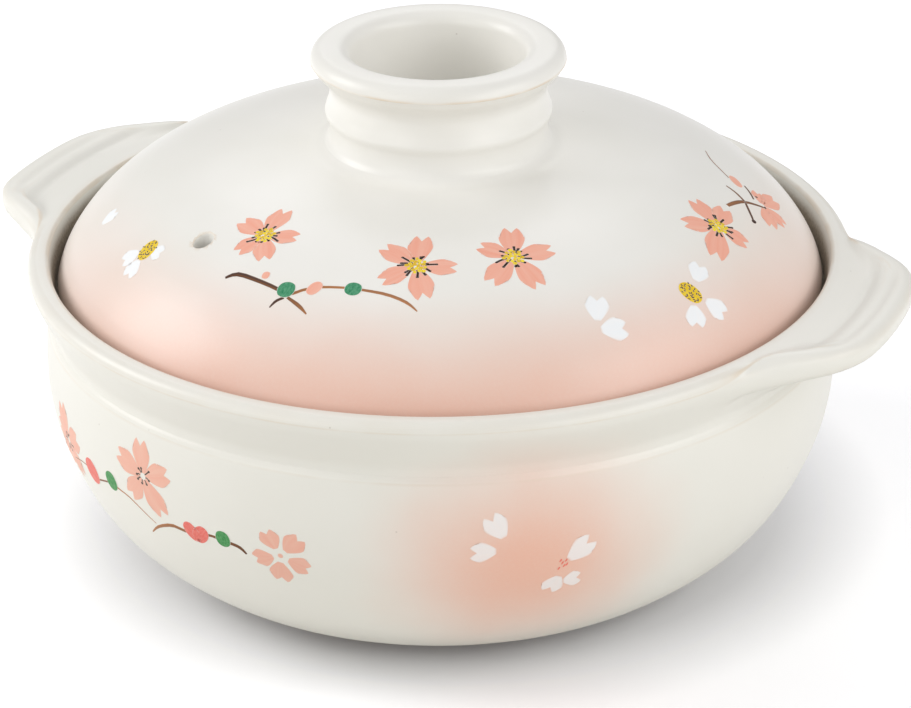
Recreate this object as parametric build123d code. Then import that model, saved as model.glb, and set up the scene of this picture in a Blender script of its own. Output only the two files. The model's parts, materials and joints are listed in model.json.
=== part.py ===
from build123d import *
import os
from math import asin, cos, degrees, pi, radians, sin

# A donabe: a Japanese stoneware cooking pot with a domed lid.
# The origin is on the table under the centre of the foot ring. Z points up and the handles lie along X.
# All sizes are in millimetres. A section is drawn as radius across and height up, then turned about Z.

# Bowl
rim_radius = 128.0
rim_height = 101.5
rim_width = 6.6
rim_round = 3.0
lip_round = 1.4
neck_step = 6.2
neck_drop = 19.5
belly_swell = 2.0
wall = 7.0
floor_thickness = 8.0
floor_flat_radius = 58.0

# Foot ring under the bowl
foot_radius = 72.0
foot_width = 7.0
foot_height = 3.6
foot_round = 1.2

# Gallery, the ledge inside the rim that the lid stands on
ledge_depth = 10.5
ledge_width = 8.6
ledge_round = 2.0
ledge_nose = 4.0
gallery_taper = 1.6
gallery_fillet = 1.0

# Lid
lid_gap = 0.8
lid_rise = 41.5
lid_wall = 6.5
lid_edge_height = 2.0
lid_edge_round = 1.2

# Steam hole through the lid
steam_hole_diameter = 7.5
steam_hole_inset = 31.7
steam_hole_angle = -115.6

# Knob, a turned ring on the lid, which is also the lid's foot when the lid is used as a dish
knob_radius = 39.1
knob_height = 31.5
knob_lip_width = 12.4
knob_lip_round = 3.2
knob_inner_round = 3.4
knob_neck_step = 6.3
knob_flare = 2.6
knob_bore_taper = 1.5

# Handles, two flat lugs that grow out of the rim
handle_reach = 20.5
handle_tip_width = 39.0
handle_root_width = 113.0
handle_thickness = 9.6
handle_drop = 1.0
handle_edge_round = 4.2
handle_groove_depth = 0.7
handle_groove_width = 4.0
handle_groove_inset = 3.1
handle_groove_spacing = 6.2
handle_grooves = 2

# How far a cutting shape runs past what it cuts
overrun = 5.0

# The belly's outline between the foot and the neck, as shares of the way out and of the way up
belly_outline_shares = (
    (0.36, 0.06),
    (0.55, 0.15),
    (0.72, 0.26),
    (0.83, 0.38),
    (0.92, 0.51),
    (0.98, 0.65),
    (1.00, 0.81),
)

# Where the inside of the wall follows the belly, as shares of the belly's length from the foot
wall_follow_shares = (0.20, 0.36, 0.52, 0.68, 0.84)

# The dome's outline is a superellipse: how flat it is on top, how full it is at the shoulder,
# and how many steps it is drawn in
dome_flatness = 3.7
dome_shoulder = 1.46
dome_steps = 12

# Where the lid's underside follows the dome, as shares of the dome's length from the middle
lid_follow_shares = (0.88, 0.74, 0.58, 0.42, 0.26)

# The knob's side from the lid to the lip, as shares of the step from the neck's radius
# to the knob's radius, and shares of the knob's height
knob_side_shares = (
    (0.00, 0.14),
    (0.06, 0.30),
    (0.29, 0.44),
    (0.27, 0.56),
    (0.72, 0.69),
)
knob_widest_share = 0.88

# The way the knob's side sets off from the lid, in across and up
knob_foot_heading = (-1, 3)


def rounded(face, corner, radius):
    """The same face with its corner nearest to a point rounded."""
    nearest = face.vertices().sort_by_distance(Vector(*corner))[0]
    return fillet(nearest, radius)


def turned(face):
    """The solid that a potter's wheel makes of a section."""
    return revolve(Plane.XZ * face, Axis.Z)


def inside_point(curve, share, depth):
    """A point at a depth inside a curve that runs outwards and up."""
    point = curve @ share
    heading = curve % share
    return (point.X - depth * heading.Y, point.Y + depth * heading.X)


# Heights and radii that several pieces share
ledge_height = rim_height - ledge_depth
lip_radius = rim_radius - rim_width
gallery_radius = lip_radius - gallery_taper
ledge_inner_radius = gallery_radius - ledge_width
lid_radius = gallery_radius - lid_gap
neck_radius = rim_radius - neck_step
neck_height = rim_height - neck_drop
belly_radius = neck_radius + belly_swell

# Bowl: the outside from the foot to the rim
foot_top = (foot_radius, foot_height)
neck = (neck_radius, neck_height)
rim_edge = (rim_radius, rim_height - rim_round)
rim_top = (rim_radius - rim_round, rim_height)
belly_points = [
    (
        foot_radius + out * (belly_radius - foot_radius),
        foot_height + up * (neck_height - foot_height),
    )
    for out, up in belly_outline_shares
]
belly = Spline(foot_top, *belly_points, neck)
collar = Spline(neck, rim_edge, tangents=[(0, 1), (0, 1)])
rim_arc = RadiusArc(rim_edge, rim_top, -rim_round)

# Bowl: the ledge, the inside and the floor
lip = (lip_radius, rim_height)
gallery_corner = (gallery_radius, ledge_height)
ledge_edge = (ledge_inner_radius, ledge_height)
under_ledge = (ledge_inner_radius, ledge_height - ledge_nose)
floor_height = foot_height + floor_thickness
wall_points = [inside_point(belly, share, wall) for share in reversed(wall_follow_shares)]
inside = Spline(
    under_ledge,
    *wall_points,
    (floor_flat_radius, floor_height),
    tangents=[(0, -1), (-1, 0)],
)
foot_inner_radius = foot_radius - foot_width
foot_outer = (foot_radius, 0)
foot_inner = (foot_inner_radius, 0)
recess_corner = (foot_inner_radius, foot_height)
bowl_section = make_face(
    [
        belly,
        collar,
        rim_arc,
        Polyline(rim_top, lip, gallery_corner, ledge_edge, under_ledge),
        inside,
        Polyline(
            (floor_flat_radius, floor_height),
            (0, floor_height),
            (0, foot_height),
            recess_corner,
            foot_inner,
            foot_outer,
            foot_top,
        ),
    ]
)
bowl_corners = (
    (lip, lip_round),
    (gallery_corner, gallery_fillet),
    (ledge_edge, ledge_round),
    (foot_outer, foot_round),
    (foot_inner, foot_round),
    (recess_corner, foot_round),
)
for corner, radius in bowl_corners:
    bowl_section = rounded(bowl_section, corner, radius)
pot_bowl = turned(bowl_section)

# Lid: the dome is a superellipse turned about the axis, with a wall of one thickness
dome_foot_height = ledge_height + lid_edge_height
dome_top_height = dome_foot_height + lid_rise


def dome_point(step):
    """A point of the dome's outline, from the lid's edge in to its middle."""
    out = cos(pi / 2 * step / dome_steps)
    up = (1 - out**dome_flatness) ** (1 / dome_shoulder)
    return (lid_radius * out, dome_foot_height + lid_rise * up)


dome_points = [dome_point(step) for step in range(dome_steps)]
dome_middle = (0, dome_top_height)
dome = Spline(*dome_points, dome_middle, tangents=[(0, 1), (-1, 0)])
lid_edge = (lid_radius, ledge_height)
lid_foot_inner_radius = lid_radius - lid_wall
lid_inside = Spline(
    (lid_foot_inner_radius, dome_foot_height),
    *[inside_point(dome, 1 - share, lid_wall) for share in lid_follow_shares],
    (0, dome_top_height - lid_wall),
    tangents=[(0, 1), (-1, 0)],
)
lid_section = make_face(
    [
        dome,
        Polyline(
            dome @ 0,
            lid_edge,
            (lid_foot_inner_radius, ledge_height),
            (lid_foot_inner_radius, dome_foot_height),
        ),
        lid_inside,
        Line(lid_inside @ 1, dome_middle),
    ]
)
lid_section = rounded(lid_section, lid_edge, lid_edge_round)
steam_hole_radius_from_axis = lid_radius - steam_hole_inset
steam_hole = Pos(
    steam_hole_radius_from_axis * cos(radians(steam_hole_angle)),
    steam_hole_radius_from_axis * sin(radians(steam_hole_angle)),
    dome_foot_height,
) * Cylinder(
    steam_hole_diameter / 2,
    lid_rise + overrun,
    align=(Align.CENTER, Align.CENTER, Align.MIN),
)
lid_dome = turned(lid_section) - steam_hole

# Knob: a turned ring whose underside is the dome itself
knob_top_height = dome_top_height + knob_height
knob_neck_radius = knob_radius - knob_neck_step
knob_bore_radius = knob_radius - knob_lip_width - knob_bore_taper
knob_foot = (knob_neck_radius + knob_flare, dome_top_height - overrun)
knob_widest = (knob_radius, dome_top_height + knob_height * knob_widest_share)
knob_side = Spline(
    knob_foot,
    *[
        (knob_neck_radius + out * knob_neck_step, dome_top_height + up * knob_height)
        for out, up in knob_side_shares
    ],
    knob_widest,
    tangents=[knob_foot_heading, (0, 1)],
)
knob_lip_outer = (knob_radius, knob_top_height)
knob_lip_inner = (knob_radius - knob_lip_width, knob_top_height)
knob_section = make_face(
    [
        knob_side,
        Polyline(
            knob_widest,
            knob_lip_outer,
            knob_lip_inner,
            (knob_bore_radius, dome_top_height),
            (knob_bore_radius, dome_top_height - overrun),
            knob_foot,
        ),
    ]
)
knob_section = rounded(knob_section, knob_lip_outer, knob_lip_round)
knob_section = rounded(knob_section, knob_lip_inner, knob_inner_round)
under_dome = make_face([dome, Polyline(dome_middle, (0, dome_foot_height), dome @ 0)])
lid_knob = turned(knob_section - under_dome)

# Handles: a lug's outline seen from above leaves the rim's circle and comes back to it
handle_radius = rim_radius + handle_reach
tip_angle = asin(handle_tip_width / 2 / handle_radius)
root_angle = asin(handle_root_width / 2 / rim_radius)
handle_top_height = rim_height - handle_drop
handle_bottom_height = handle_top_height - handle_thickness
handle_root_radius = ledge_inner_radius


def around(radius, angle):
    """A point at a radius from the axis, at an angle from the X axis."""
    return (radius * cos(angle), radius * sin(angle))


def shoulder(side):
    """The sweep from the rim's circle out to the tip, on one side of the handle."""
    return Spline(
        around(rim_radius, side * root_angle),
        around(handle_radius, side * tip_angle),
        tangents=[
            (sin(root_angle), -side * cos(root_angle)),
            (sin(tip_angle), -side * cos(tip_angle)),
        ],
    )


tip = CenterArc((0, 0), handle_radius, -degrees(tip_angle), 2 * degrees(tip_angle))
lug_outline = make_face(
    [
        shoulder(-1),
        tip,
        shoulder(1),
        Polyline(
            around(rim_radius, root_angle),
            around(handle_root_radius, root_angle),
            around(handle_root_radius, -root_angle),
            around(rim_radius, -root_angle),
        ),
    ]
)
lug = Pos(0, 0, handle_bottom_height) * extrude(lug_outline, handle_thickness)
curved_edges = lug.edges().filter_by(GeomType.LINE, reverse=True)
lug = fillet(curved_edges, handle_edge_round)
first_groove_radius = handle_radius - handle_edge_round - handle_groove_inset
for groove in range(handle_grooves):
    groove_radius = first_groove_radius - groove * handle_groove_spacing
    groove_section = Pos(groove_radius, handle_top_height) * Ellipse(
        handle_groove_width / 2, handle_groove_depth
    )
    lug -= turned(groove_section)
bowl_outside = make_face(
    [
        belly,
        collar,
        rim_arc,
        Polyline(rim_top, (0, rim_height), (0, foot_height), foot_top),
    ]
)
right_handle = lug - turned(bowl_outside)
left_handle = Rot(0, 0, 180) * right_handle

os.makedirs("parts", exist_ok=True)
pieces = {
    "pot_bowl": pot_bowl,
    "left_handle": left_handle,
    "right_handle": right_handle,
    "lid_dome": lid_dome,
    "lid_knob": lid_knob,
}
for name, piece in pieces.items():
    export_step(piece, f"parts/{name}.step")
    print(name, len(piece.solids()), "solid", round(piece.volume), "cubic mm")
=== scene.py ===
# %% [markdown]
# # Glazing and painting a donabe
# A donabe is a stoneware cooking pot. The potter throws the bowl and the lid, lutes on two lugs and a
# ring knob, pours on cream glaze, sprays a pink blush, and brushes cherry blossom on top in enamel
# colours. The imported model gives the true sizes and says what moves. It is loaded first, and every
# size below is read from it or measured up from it, so nothing has to be fitted afterwards.

import json
import random
from functools import partial
from math import asin, atan2, cos, degrees, hypot, pi, radians, sin, sqrt

import bpy
from mathutils import Matrix, Vector


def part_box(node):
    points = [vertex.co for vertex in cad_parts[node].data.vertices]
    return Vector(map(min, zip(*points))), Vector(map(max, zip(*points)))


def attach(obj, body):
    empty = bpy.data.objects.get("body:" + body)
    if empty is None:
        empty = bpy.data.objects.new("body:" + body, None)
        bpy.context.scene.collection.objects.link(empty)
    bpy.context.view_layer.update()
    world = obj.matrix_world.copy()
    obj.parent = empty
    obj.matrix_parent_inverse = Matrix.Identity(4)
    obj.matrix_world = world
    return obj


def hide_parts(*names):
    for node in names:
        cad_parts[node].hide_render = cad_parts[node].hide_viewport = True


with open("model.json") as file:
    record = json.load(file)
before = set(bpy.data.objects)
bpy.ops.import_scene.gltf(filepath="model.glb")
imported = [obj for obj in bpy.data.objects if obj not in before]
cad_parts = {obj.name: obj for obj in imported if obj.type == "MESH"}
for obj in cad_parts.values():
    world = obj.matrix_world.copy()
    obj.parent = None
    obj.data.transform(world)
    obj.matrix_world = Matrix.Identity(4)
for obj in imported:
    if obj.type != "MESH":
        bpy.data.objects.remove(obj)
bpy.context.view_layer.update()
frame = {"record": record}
mm = 0.001

# %% [markdown]
# ## The camera
# The photograph looks down at the pot from a little to the right of its front, from about a metre
# away with a long lens. The camera is placed by that turn, height and distance, so each can be
# changed by itself, and it is tilted a touch to the side, as the picture is.

# %% Place the camera
photo_width_px = 911
sensor_width = 36.0
focal_px = 3300
camera_turn = radians(27)
camera_rise = radians(26)
camera_roll = radians(-0.4)
camera_distance = 1047 * mm
camera_target = Vector((4.1, 2.1, 61.2)) * mm


def from_camera_side(turn, rise):
    """The direction from the pot to something placed by its turn from the front and its rise."""
    return Vector((sin(turn) * cos(rise), -cos(turn) * cos(rise), sin(rise)))


to_camera = from_camera_side(camera_turn, camera_rise)
aim = to_camera.to_track_quat("Z", "Y").to_matrix() @ Matrix.Rotation(camera_roll, 3, "Z")
bpy.ops.object.camera_add(
    location=camera_target + to_camera * camera_distance, rotation=aim.to_euler()
)
camera = bpy.context.object
camera.name = "camera"
camera.data.sensor_width = sensor_width
camera.data.lens = focal_px / photo_width_px * sensor_width
camera.data.clip_end = 30
bpy.context.scene.camera = camera
print("lens", round(camera.data.lens, 1), "mm")

# %% [markdown]
# ## Colours and nodes
# A colour picked from a photograph is an sRGB value, but the shader mixes light in linear values.
# One function turns a hex colour to linear, and one adds a node with its settings and links, so each
# material further down reads as a short recipe.


# %% Define colour and node helpers
def linear(hex_colour):
    """The linear RGBA value of an sRGB hex colour."""
    shares = [int(hex_colour[start : start + 2], 16) / 255 for start in (1, 3, 5)]
    return (*[s / 12.92 if s <= 0.04045 else ((s + 0.055) / 1.055) ** 2.4 for s in shares], 1)


def add_node(tree, kind, inputs={}, give=None, **settings):
    """Adds a node, sets it up, fills its inputs with values or links, and hands on one output."""
    node = tree.nodes.new("ShaderNode" + kind)
    for name, value in settings.items():
        setattr(node, name, value)
    for name, value in inputs.items():
        if isinstance(value, bpy.types.NodeSocket):
            tree.links.new(value, node.inputs[name])
        else:
            node.inputs[name].default_value = value
    return node.outputs[give] if give else next(output for output in node.outputs if output.enabled)


def new_material(name):
    """An empty material, with its node tree and its shader."""
    material = bpy.data.materials.new(name)
    material.use_nodes = True
    return material, material.node_tree, material.node_tree.nodes["Principled BSDF"]


print("mid grey is", round(linear("#808080")[0], 3), "in linear light")

# %% [markdown]
# ## The studio
# Crockery is photographed on a white paper sweep. Lamps of a plain level don't bring paper to pure
# white, so the camera, and whatever mirrors or shines, sees the floor a shade lighter than it is. The
# light that bounces up on the pot is that of ordinary pale paper. Matt paper scatters light evenly
# and shows the eye no highlight. Round the foot the paper's colour is darkened, a painted shadow
# that deepens the cast shadow there.

# %% Lay the floor
floor_size = 8.0
floor_bounce = linear("#E3E2DC")
floor_white = (1.22, 1.22, 1.25, 1)
# A painted shadow: the paper's colour right round the pot's foot, darker than the rest of the floor.
painted_floor_shadow = (0.82, 0.82, 0.85, 1)
shade_middle = (-5 * mm, 21 * mm, 0)
shade_radius = 106 * mm
shade_end = 142 * mm
bpy.ops.object.select_all(action="DESELECT")
bpy.ops.mesh.primitive_plane_add(size=floor_size)
floor = bpy.context.object
floor.name = "floor"
paper, tree, shader = new_material("matt_white_paper")
seen = add_node(tree, "LightPath", give="Is Camera Ray")
for kind in ("Is Glossy Ray", "Is Transmission Ray"):
    ray = add_node(tree, "LightPath", give=kind)
    seen = add_node(tree, "Math", {0: seen, 1: ray}, operation="MAXIMUM")
place = add_node(tree, "TexCoord", give="Object")
# The paper's colour darkens towards the pot between these radii: a painted shadow round its foot.
away = add_node(tree, "VectorMath", {0: place, 1: shade_middle}, operation="DISTANCE")
away = add_node(tree, "MapRange", {"Value": away, "From Min": shade_radius, "From Max": shade_end})
tone = {"Factor": away, "A": painted_floor_shadow, "B": floor_white}
tone = add_node(tree, "Mix", tone, data_type="RGBA")
tint = add_node(tree, "Mix", {"Factor": seen, "A": floor_bounce, "B": tone}, data_type="RGBA")
diffuse = add_node(tree, "BsdfDiffuse", {"Color": tint})
tree.links.new(diffuse, tree.nodes["Material Output"].inputs["Surface"])
floor.data.materials.append(paper)
print("floor", floor_size, "m wide")

# %% [markdown]
# Large soft boxes give a glaze long, gentle highlights. One stands on each side, one at each front
# corner and one behind. Each is given by its turn from the camera's side and its rise in degrees, its
# distance and size in metres and its power in watts, so a lamp can be moved without a new aim.


# %% Hang the soft boxes
def add_soft_box(name, turn, rise, distance, size, power):
    """A square lamp that faces the pot."""
    direction = from_camera_side(camera_turn + radians(turn), radians(rise))
    bpy.ops.object.light_add(type="AREA", location=direction * distance + camera_target)
    lamp = bpy.context.object
    lamp.name = name
    lamp.data.shape = "SQUARE"
    lamp.data.size = size
    lamp.data.energy = power
    lamp.rotation_euler = direction.to_track_quat("Z", "Y").to_euler()


add_soft_box("left_soft_box", -95, 28, 1.5, 0.8, 9.6)
add_soft_box("left_front_box", -42, 18, 1.5, 0.8, 3.0)
add_soft_box("right_soft_box", 68, 32, 1.5, 0.8, 4.6)
add_soft_box("right_front_box", 42, 18, 1.5, 0.8, 4.2)
add_soft_box("back_soft_box", 180, 38, 1.6, 1.0, 3.4)
print("lamps", len(bpy.data.lights))

# %% [markdown]
# The walls of a studio fill the shadows between the lamps. A world of one even white does the same and
# costs no lamp. The camera sees it at strength 1, which is white, and so would glass. The pot gets
# about half of that, in its sheen too, which a full white would make paler.

# %% Fill the shadows with the world
world_fill = 0.53
world = bpy.data.worlds.new("studio")
world.use_nodes = True
bpy.context.scene.world = world
tree = world.node_tree
seen = add_node(tree, "LightPath", give="Is Camera Ray")
through_glass = add_node(tree, "LightPath", give="Is Transmission Ray")
seen = add_node(tree, "Math", {0: seen, 1: through_glass}, operation="MAXIMUM")
strength = add_node(tree, "Mix", {"Factor": seen, "A": world_fill, "B": 1.0}, data_type="FLOAT")
tree.links.new(strength, tree.nodes["Background"].inputs["Strength"])
tree.nodes["Background"].inputs["Color"].default_value = (1, 1, 1, 1)
bpy.context.scene.view_settings.view_transform = "Standard"
print("world fill", world_fill)

# %% [markdown]
# ## Drawing a section and turning it
# A thrown pot is a section spun about an axis, and Blender can make it the same way. An outline needs
# few numbers: smooth stretches run through a handful of points, and corners are arcs. Its points lie
# close enough to need no subdivision, which is slow where all the columns meet in the middle.


# %% Define the outline helpers
def through(points, steps):
    """A smooth line through points, with so many steps between each two, without its last point."""
    line = []
    padded = [points[0], *points, points[-1]]
    for four in zip(padded, padded[1:], padded[2:], padded[3:]):
        for step in range(steps):
            t = step / steps
            weights = (
                (-t + 2 * t**2 - t**3) / 2,
                (2 - 5 * t**2 + 3 * t**3) / 2,
                (t + 4 * t**2 - 3 * t**3) / 2,
                (t**3 - t**2) / 2,
            )
            line.append(tuple(sum(w * p[axis] for w, p in zip(weights, four)) for axis in (0, 1)))
    return line


def stretch(points, start, width, height):
    """Points that are given by shares or steps, drawn from a start at a width and height."""
    return [(start[0] + out * width, start[1] + up * height) for out, up in points]


def bend(middle, radius, start, end, steps=5):
    """The points of an arc between two angles in degrees, both ends included."""
    angles = [radians(start + (end - start) * step / steps) for step in range(steps + 1)]
    return [(middle[0] + radius * cos(a), middle[1] + radius * sin(a)) for a in angles]


def along(line, share):
    """The point at a share of a line's points, from its first to its last."""
    place = share * (len(line) - 1)
    step = min(int(place), len(line) - 2)
    rest = place - step
    return tuple(a + (b - a) * rest for a, b in zip(line[step], line[step + 1]))


print("a quarter bend of 1 mm has", len(bend((0, 0), mm, 0, 90)), "points")

# %% [markdown]
# The outline is drawn in edit mode by extruding one vertex along it, and Spin turns it once round.
# Doubled points where the turn closes are merged, and the faces are made to point outwards.


# %% Define the wheel
def turn_on_the_wheel(name, outline, columns):
    """Draws an outline by extruding a vertex along it, and spins it about the upright axis."""
    bpy.ops.object.select_all(action="DESELECT")
    bpy.ops.mesh.primitive_plane_add(size=mm)
    piece = bpy.context.object
    piece.name = piece.data.name = name
    bpy.ops.object.mode_set(mode="EDIT")
    bpy.ops.mesh.merge(type="CENTER")
    radius, height = outline[0]
    bpy.ops.transform.translate(value=(radius, 0, height))
    for (radius, height), (next_radius, next_height) in zip(outline, outline[1:]):
        step = (next_radius - radius, 0, next_height - height)
        bpy.ops.mesh.extrude_region_move(TRANSFORM_OT_translate={"value": step})
    bpy.ops.mesh.select_all(action="SELECT")
    bpy.ops.mesh.spin(steps=columns, angle=2 * pi, center=(0, 0, 0), axis=(0, 0, 1))
    bpy.ops.mesh.select_all(action="SELECT")
    bpy.ops.mesh.remove_doubles(threshold=0.01 * mm)
    bpy.ops.mesh.normals_make_consistent(inside=False)
    bpy.ops.object.mode_set(mode="OBJECT")
    bpy.ops.object.shade_smooth()
    print(name, "section points", len(outline), "faces", len(piece.data.polygons))
    return piece


# %% [markdown]
# ## Sizes
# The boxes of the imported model's nodes give the radius and height of the rim, the ledge and the lugs.
# All later sizes are steps inwards or upwards from these, so the two models stay one on the other.

# %% Measure the pot
bowl_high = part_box("pot_bowl")[1]
lug_low, lug_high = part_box("right_handle")
lid_low, lid_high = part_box("lid_dome")
knob_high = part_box("lid_knob")[1]
rim_radius = bowl_high.y
rim_height = bowl_high.z
ledge_height = lid_low.z
lug_radius = lug_high.x
wheel_columns = 240
print("rim", round(rim_radius / mm, 1), "lugs", round(lug_radius / mm, 1), "mm from the axis")

# %% [markdown]
# ## The bowl
# The collar and rim are drawn first, because the lugs will be drawn out of them. The collar is given by
# shares of the way from its neck to the rim's edge. The line is then cut into even steps, which
# become a band of loops that is close enough to take the lugs' shape.

# %% Draw the collar and the rim
rim_round = 3.0 * mm
neck = (rim_radius - 6.2 * mm, rim_height - 19.5 * mm)
rim_edge = (rim_radius, rim_height - rim_round)
rim_top = (rim_radius - rim_round, rim_height)
collar_shares = ((0.06, 0.18), (0.30, 0.38), (0.62, 0.62), (0.90, 0.84))
collar = stretch(collar_shares, neck, rim_edge[0] - neck[0], rim_edge[1] - neck[1])
rim_line = through([neck, *collar, rim_edge], 8)
rim_line += bend((rim_top[0], rim_edge[1]), rim_round, 0, 90, 24)
band_loops = 44
band_shares = [loop / band_loops for loop in range(band_loops + 1)]
rim_band = [along(rim_line, share) for share in band_shares]
print("collar and rim", band_loops, "loops,", round((rim_height - neck[1]) / mm, 1), "mm high")

# %% [markdown]
# The rest of the bowl is a foot ring, a full belly, a small step where the collar begins, the ledge
# that carries the lid, and the inside. The belly is given by shares of the way from the foot to the
# neck, and the inside by steps from the ledge, so both follow when the rim changes.

# %% Draw the bowl's section and turn it
foot_radius = 72.0 * mm
foot_width = 7.0 * mm
foot_height = 3.6 * mm
foot_round = 1.2 * mm
foot_inner = foot_radius - foot_width
clay_thickness = 8.0 * mm
floor_height = foot_height + clay_thickness
belly_shares = (
    (0.19, 0.02), (0.36, 0.07), (0.51, 0.15), (0.645, 0.245), (0.75, 0.355), (0.83, 0.475),
    (0.89, 0.60), (0.92, 0.73), (0.924, 0.85), (0.913, 0.955), (0.903, 0.983),
)
foot_corner = (foot_radius, foot_height)
belly = stretch(belly_shares, foot_corner, rim_radius - foot_radius, neck[1] - foot_height)
rim_thickness = 6.6 * mm
gallery_lean = 1.6 * mm
ledge_width = 8.6 * mm
lip_radius = rim_radius - rim_thickness
lip_round = 1.4 * mm
gallery_radius = lip_radius - gallery_lean
gallery_round = 1.0 * mm
ledge_inner = gallery_radius - ledge_width
ledge_round = 2.0 * mm
floor_radius = ledge_inner - 53 * mm
inside_steps = (
    (2.2, 77), (5.0, 69), (5.0, 58), (2.0, 46),
    (-4.0, 33.5), (-13.5, 23.5), (-25.5, 15.5), (-38.5, 12.2),
)
inside = stretch(inside_steps, (ledge_inner, 0), mm, mm)
bowl_outline = [
    (0, foot_height),
    (foot_inner / 2, foot_height),
    *bend((foot_inner - foot_round, foot_height - foot_round), foot_round, 90, 0, 3),
    *bend((foot_inner + foot_round, foot_round), foot_round, 180, 270, 3),
    *bend((foot_radius - foot_round, foot_round), foot_round, 270, 360, 3),
    *through([foot_corner, *belly, neck], 5),
    *rim_band,
    *bend((lip_radius + lip_round, rim_height - lip_round), lip_round, 90, 180),
    (gallery_radius + gallery_lean / 2, ledge_height + 5.5 * mm),
    *bend((gallery_radius - gallery_round, ledge_height + gallery_round), gallery_round, 0, -90, 3),
    (gallery_radius - 4.5 * mm, ledge_height),
    *bend((ledge_inner + ledge_round, ledge_height - ledge_round), ledge_round, 90, 180),
    *through([(ledge_inner, ledge_height - 2 * ledge_round), *inside, (floor_radius, floor_height)], 4),
    (floor_radius, floor_height),
    (floor_radius / 2, floor_height),
    (0, floor_height),
]
pot = turn_on_the_wheel("glazed_pot", bowl_outline, wheel_columns)

# %% [markdown]
# ## The lugs
# On the real pot the glaze runs over the joins, so bowl and lugs show one unbroken skin, and separate
# meshes would show seams. Instead the loops of the band are drawn out where a lug stands. From
# above, a lug is a swelling of the rim: it leaves the rim at its root and is full at its tip. Hands
# press no two alike, so each shoulder has its own pair of angles, in degrees from the lug's middle.


# %% Draw the lugs' outline
def ease(share):
    """A slow start and a slow end between 0 and 1."""
    share = min(max(share, 0), 1)
    return share**3 * (share * (share * 6 - 15) + 10)


right_back, right_front = (33.0, 10.0), (24.5, 3.0)
left_back, left_front = (31.0, 4.0), (25.0, 7.5)
lug_reach = lug_radius - rim_radius


def lug_radius_at(angle, on_right):
    """How far the pot reaches at an angle from the middle of a lug, above zero towards the back."""
    back, front = (right_back, right_front) if on_right else (left_back, left_front)
    root, tip = back if angle > 0 else front
    return rim_radius + lug_reach * ease((root - abs(degrees(angle))) / (root - tip))


print("lugs reach out", round(lug_reach / mm, 1), "mm")

# %% [markdown]
# The potter's finger leaves two shallow grooves on the top of a lug. Each is a smooth hollow in the
# section, given by its distance from the axis, so it follows the rim all the way round.

# %% Press the finger grooves
groove_depth = 0.55 * mm
groove_half_width = 2.4 * mm
groove_radii = (lug_radius - 13.8 * mm, lug_radius - 7.6 * mm)


def groove_at(radius):
    """How deep the finger grooves are at a distance from the axis."""
    offs = [(radius - middle) / groove_half_width for middle in groove_radii]
    return sum(groove_depth * (1 - off**2) ** 2 for off in offs if abs(off) < 1)


print("grooves", [round(radius / mm, 1) for radius in groove_radii], "mm from the axis")

# %% [markdown]
# Across, a lug has four stretches: the collar below it, a flat underside, a rounded edge, and a top
# that runs into the rim with a slight dip. Shares say where along the band each stretch ends. The
# edge is a squared half circle, and top and underside rise outwards as the lug leaves the rim.

# %% Draw a lug's section
underside_share, edge_share, top_share = 0.14, 0.32, 0.60
underside_quickness = 1.6
underside_start = lug_low.z + 0.6 * mm
underside_rise = 4.6 * mm
edge_width = 4.6 * mm
edge_most = 0.75
edge_squareness = 0.72
lug_rise = 1.8 * mm
rise_quickness = 3.5
top_dip = 0.9 * mm


def lug_point(share, outer, slant):
    """A point of the lug's section, from the collar below it round to the rim's top."""
    root = along(rim_line, underside_share)
    edge_start = outer - min(edge_width * slant, (outer - rim_top[0]) * edge_most)
    out_share = (outer - rim_radius) / lug_reach
    lug_top = rim_height + lug_rise * ease(out_share * rise_quickness)
    lug_bottom = underside_start + underside_rise * out_share
    if share <= underside_share:
        return along(rim_line, share)
    if share <= edge_share:
        part = (share - underside_share) / (edge_share - underside_share)
        level = root[1] + (lug_bottom - root[1]) * ease(part * underside_quickness)
        return (root[0] + (edge_start - root[0]) * part, level)
    if share <= top_share:
        turn = radians(-90 + 180 * (share - edge_share) / (top_share - edge_share))
        up = abs(sin(turn)) ** edge_squareness * (1 if turn > 0 else -1)
        out = max(cos(turn), 0) ** edge_squareness
        middle = (lug_top + lug_bottom) / 2
        return (edge_start + (outer - edge_start) * out, middle + (lug_top - middle) * up)
    part = (share - top_share) / (1 - top_share)
    radius = edge_start + (rim_top[0] - edge_start) * part
    level = lug_top + (rim_height - lug_top) * ease(part) - top_dip * out_share * sin(pi * part) ** 2
    return (radius, level - groove_at(radius))


print("lug", round((rim_height - underside_start - underside_rise) / mm, 1), "mm thick at its tip")

# %% [markdown]
# Each vertex of the band keeps its turn round the pot and moves to its place in the lug's section.
# Where the outline runs slantwise, the edge is widened by the slant, or it would look pinched. A lug
# that is hardly begun fades into the plain rim, so nothing kinks where it starts.

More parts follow.
